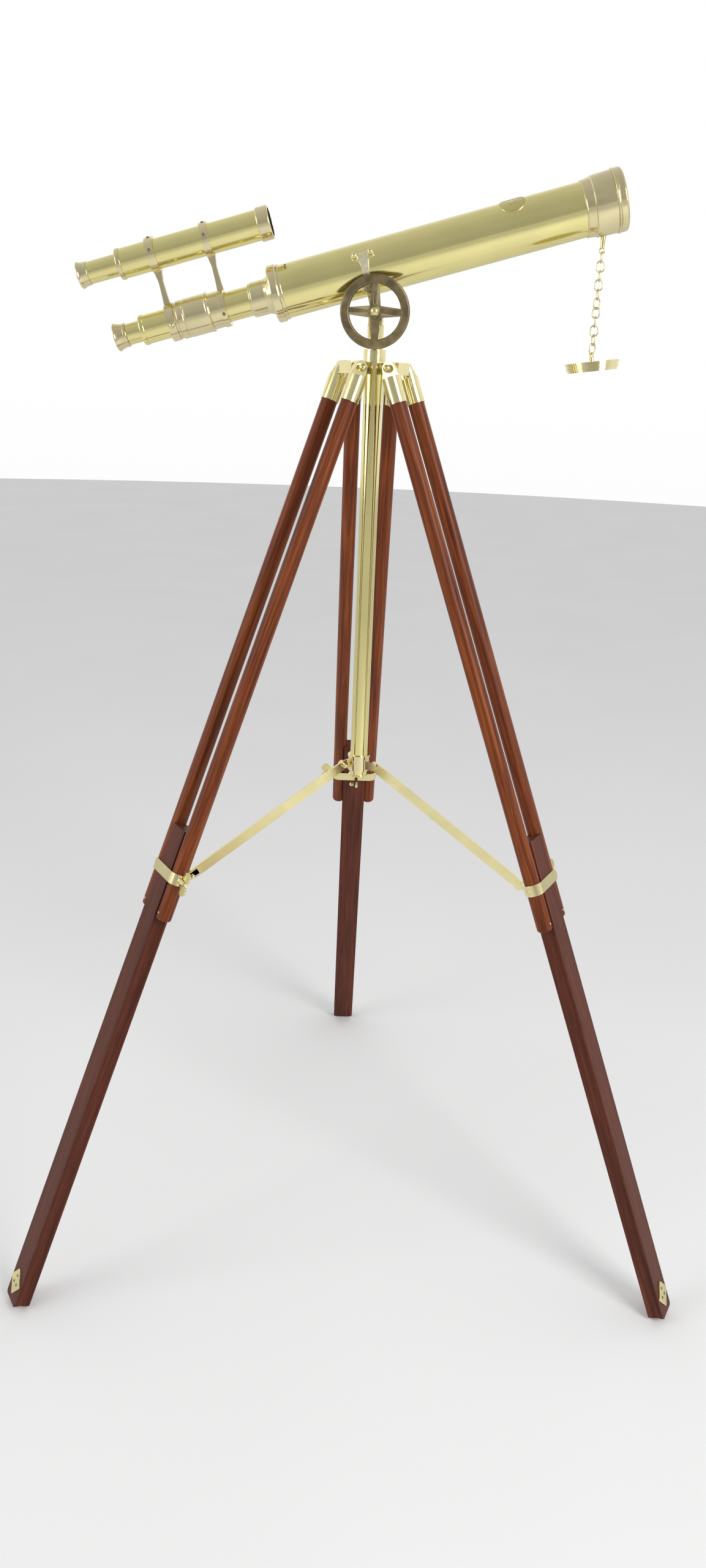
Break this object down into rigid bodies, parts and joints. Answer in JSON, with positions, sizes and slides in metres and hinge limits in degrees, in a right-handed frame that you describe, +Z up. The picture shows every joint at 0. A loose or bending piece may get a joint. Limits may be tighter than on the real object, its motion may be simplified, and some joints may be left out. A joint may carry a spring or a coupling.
{
  "type": "telescope on tripod",
  "caption": "Refracting brass telescope with a finder scope and hanging lens cap, on a folding wooden tripod with a centre pole, braces and a tilting head.",
  "frame": {"origin": "on the floor under the centre pole", "axes": "+Z up along the centre pole, +X towards the objective, the tube lying in the XZ plane and the clamp wheel on the -Y side"},
  "size_m": [0.9986, 0.8989, 1.5809],
  "materials": {
    "polished_brass": "polished and lacquered",
    "cast_brass": "polished cast brass, slightly pinker",
    "bronze_wheel": "dark antique bronze, satin",
    "mahogany_rod": "gloss varnish, straight grain",
    "mahogany_board": "satin varnish, straight grain",
    "lens_glass": "coated optical glass"
  },
  "bodies": {
    "stand": {"hub": "polished_brass", "leg_hinge_bolts": "polished_brass", "pole": "polished_brass", "pole_end": "polished_brass"},
    "yoke": {"yoke_post": "polished_brass", "axle_bolt": "polished_brass"},
    "clamp_wheel": {"clamp_wheel": "bronze_wheel"},
    "telescope": {"cradle": "cast_brass", "cradle_screws": "polished_brass", "main_tube": "polished_brass", "rear_ring": "cast_brass", "reducer_collar": "cast_brass", "objective_bell": "cast_brass", "objective_rim": "cast_brass", "objective_lens": "lens_glass", "medallion": "cast_brass", "bell_eyelet": "polished_brass"},
    "focus_draw": {"focus_tube": "polished_brass", "barrel": "cast_brass", "rear_bracket": "cast_brass", "front_bracket": "cast_brass", "bracket_screws": "polished_brass", "finder_tube": "polished_brass", "finder_rings": "cast_brass", "finder_lens": "lens_glass"},
    "eyepiece": {"eyepiece_draw": "polished_brass", "eyepiece_cup": "cast_brass", "eye_lens": "lens_glass"},
    "finder_eyepiece": {"finder_draw": "polished_brass", "finder_cup": "cast_brass"},
    "chain": {"chain_links": "polished_brass"},
    "cap": {"lens_cap": "polished_brass"},
    "spider": {"spider": "polished_brass", "spider_pins": "polished_brass"},
    "rear_leg": {"rear_rods": "mahogany_rod", "rear_ferrules": "polished_brass", "rear_clamp_band": "polished_brass"},
    "rear_lower_leg": {"rear_board": "mahogany_board", "rear_foot_plate": "polished_brass", "rear_foot_spike": "polished_brass"},
    "rear_wing_nut": {"rear_wing_nut": "polished_brass"},
    "rear_brace": {"rear_brace": "polished_brass"},
    "left_leg": {"left_rods": "mahogany_rod", "left_ferrules": "polished_brass", "left_clamp_band": "polished_brass"},
    "left_lower_leg": {"left_board": "mahogany_board", "left_foot_plate": "polished_brass", "left_foot_spike": "polished_brass"},
    "left_wing_nut": {"left_wing_nut": "polished_brass"},
    "left_brace": {"left_brace": "polished_brass"},
    "right_leg": {"right_rods": "mahogany_rod", "right_ferrules": "polished_brass", "right_clamp_band": "polished_brass"},
    "right_lower_leg": {"right_board": "mahogany_board", "right_foot_plate": "polished_brass", "right_foot_spike": "polished_brass"},
    "right_wing_nut": {"right_wing_nut": "polished_brass"},
    "right_brace": {"right_brace": "polished_brass"}
  },
  "joints": [
    {"name": "azimuth_turn", "type": "hinge", "parent": "stand", "child": "yoke", "pos_m": [0, 0, 1.3392], "axis": [0, 0, 1], "continuous": true},
    {"name": "altitude_tilt", "type": "hinge", "parent": "yoke", "child": "telescope", "pos_m": [0, 0, 1.3989], "axis": [0, -1, 0], "range_deg": [-40, 40]},
    {"name": "clamp_wheel_turn", "type": "hinge", "parent": "yoke", "child": "clamp_wheel", "pos_m": [0, 0, 1.3989], "axis": [0, -1, 0], "range_deg": [0, 270]},
    {"name": "focus_slide", "type": "slide", "parent": "telescope", "child": "focus_draw", "axis": [0.9611, 0, 0.2763], "range_m": [-0.05, 0.03]},
    {"name": "eyepiece_slide", "type": "slide", "parent": "focus_draw", "child": "eyepiece", "axis": [0.9611, 0, 0.2763], "range_m": [-0.03, 0.025]},
    {"name": "finder_slide", "type": "slide", "parent": "focus_draw", "child": "finder_eyepiece", "axis": [0.9611, 0, 0.2763], "range_m": [-0.04, 0.035]},
    {"name": "chain_swing", "type": "hinge", "parent": "telescope", "child": "chain", "pos_m": [0.287, 0, 1.48084], "axis": [1, 0, 0], "range_deg": [-40, 40]},
    {"name": "cap_swing", "type": "hinge", "parent": "chain", "child": "cap", "pos_m": [0.287, 0, 1.35974], "axis": [0.8192, 0.5736, 0], "range_deg": [-25, 25]},
    {"name": "rear_leg_fold", "type": "hinge", "parent": "stand", "child": "rear_leg", "pos_m": [-0.00236, 0.03552, 1.331], "axis": [-0.9978, -0.0663, 0], "range_deg": [0, 18.5]},
    {"name": "rear_leg_retract", "type": "slide", "parent": "rear_leg", "child": "rear_lower_leg", "axis": [0.0243, -0.3657, 0.9304], "range_m": [0, 0.55]},
    {"name": "rear_wing_nut_turn", "type": "hinge", "parent": "rear_leg", "child": "rear_wing_nut", "pos_m": [-0.02002, 0.30138, 0.65459], "axis": [-0.9978, -0.0663, 0], "range_deg": [0, 360]},
    {"name": "rear_brace_fold", "type": "hinge", "parent": "spider", "child": "rear_brace", "pos_m": [-0.00172, 0.02594, 0.774], "axis": [-0.9978, -0.0663, 0], "range_deg": [0, 58.83]},
    {"name": "left_leg_fold", "type": "hinge", "parent": "stand", "child": "left_leg", "pos_m": [-0.02958, -0.0198, 1.331], "axis": [0.5563, -0.831, 0], "range_deg": [0, 18.55]},
    {"name": "left_leg_retract", "type": "slide", "parent": "left_leg", "child": "left_lower_leg", "axis": [0.3046, 0.2039, 0.9304], "range_m": [0, 0.55]},
    {"name": "left_wing_nut_turn", "type": "hinge", "parent": "left_leg", "child": "left_wing_nut", "pos_m": [-0.251, -0.16803, 0.65459], "axis": [0.5563, -0.831, 0], "range_deg": [0, 360]},
    {"name": "left_brace_fold", "type": "hinge", "parent": "spider", "child": "left_brace", "pos_m": [-0.02161, -0.01446, 0.774], "axis": [0.5563, -0.831, 0], "range_deg": [0, 58.83]},
    {"name": "right_leg_fold", "type": "hinge", "parent": "stand", "child": "right_leg", "pos_m": [0.03194, -0.01572, 1.331], "axis": [0.4415, 0.8973, 0], "range_deg": [0, 18.55]},
    {"name": "right_leg_retract", "type": "slide", "parent": "right_leg", "child": "right_lower_leg", "axis": [-0.3288, 0.1618, 0.9304], "range_m": [0, 0.55]},
    {"name": "right_wing_nut_turn", "type": "hinge", "parent": "right_leg", "child": "right_wing_nut", "pos_m": [0.27101, -0.13336, 0.65459], "axis": [0.4415, 0.8973, 0], "range_deg": [0, 360]},
    {"name": "right_brace_fold", "type": "hinge", "parent": "spider", "child": "right_brace", "pos_m": [0.02333, -0.01148, 0.774], "axis": [0.4415, 0.8973, 0], "range_deg": [0, 58.83]},
    {"name": "spider_slide", "type": "slide", "parent": "stand", "child": "spider", "axis": [0, 0, 1], "range_m": [0, 0.10735]}
  ],
  "couplings": [
    {"joint": "rear_brace_fold", "follows": "rear_leg_fold", "ratio": 3.1774},
    {"joint": "left_brace_fold", "follows": "rear_leg_fold", "ratio": 3.1774},
    {"joint": "left_leg_fold", "follows": "rear_leg_fold", "ratio": 1},
    {"joint": "right_brace_fold", "follows": "rear_leg_fold", "ratio": 3.1774},
    {"joint": "right_leg_fold", "follows": "rear_leg_fold", "ratio": 1},
    {"joint": "spider_slide", "follows": "rear_leg_fold", "m_per_rad": 0.33215}
  ]
}
